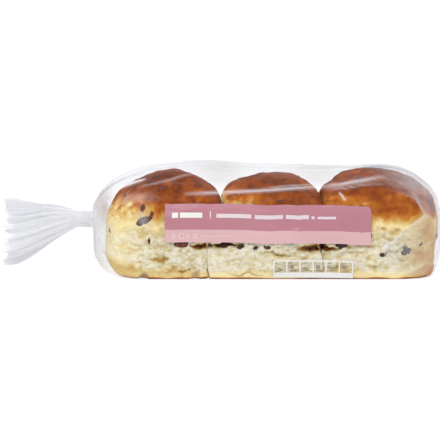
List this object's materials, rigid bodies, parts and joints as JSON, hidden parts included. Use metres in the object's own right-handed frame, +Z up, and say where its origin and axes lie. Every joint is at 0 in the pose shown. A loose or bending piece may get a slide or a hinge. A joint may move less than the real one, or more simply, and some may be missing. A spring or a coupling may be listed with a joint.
{
  "type": "sealed bag of currant buns",
  "caption": "Sealed clear bag of soft currant buns lying on its base, gathered at one end into a taped neck and a pleated film tail, with a plain two-tone label band on the front.",
  "frame": {"origin": "centre of the whole object's footprint, at the height of the base it rests on", "axes": "+X from the gathered tail towards the folded end, -Y towards the front face with the label, +Z up"},
  "size_m": [0.301, 0.157, 0.0704],
  "materials": {
    "bag_film": "thin clear wrinkled film",
    "clear_tape": "clear glossy tape",
    "bread": "browned satin crust over pale torn crumb",
    "dried_fruit": "wrinkled, slightly glossy",
    "label_print": "flat printed ink on film"
  },
  "bodies": {
    "root": {"bag": "bag_film", "neck_tape": "clear_tape"}
  },
  "joints": []
}
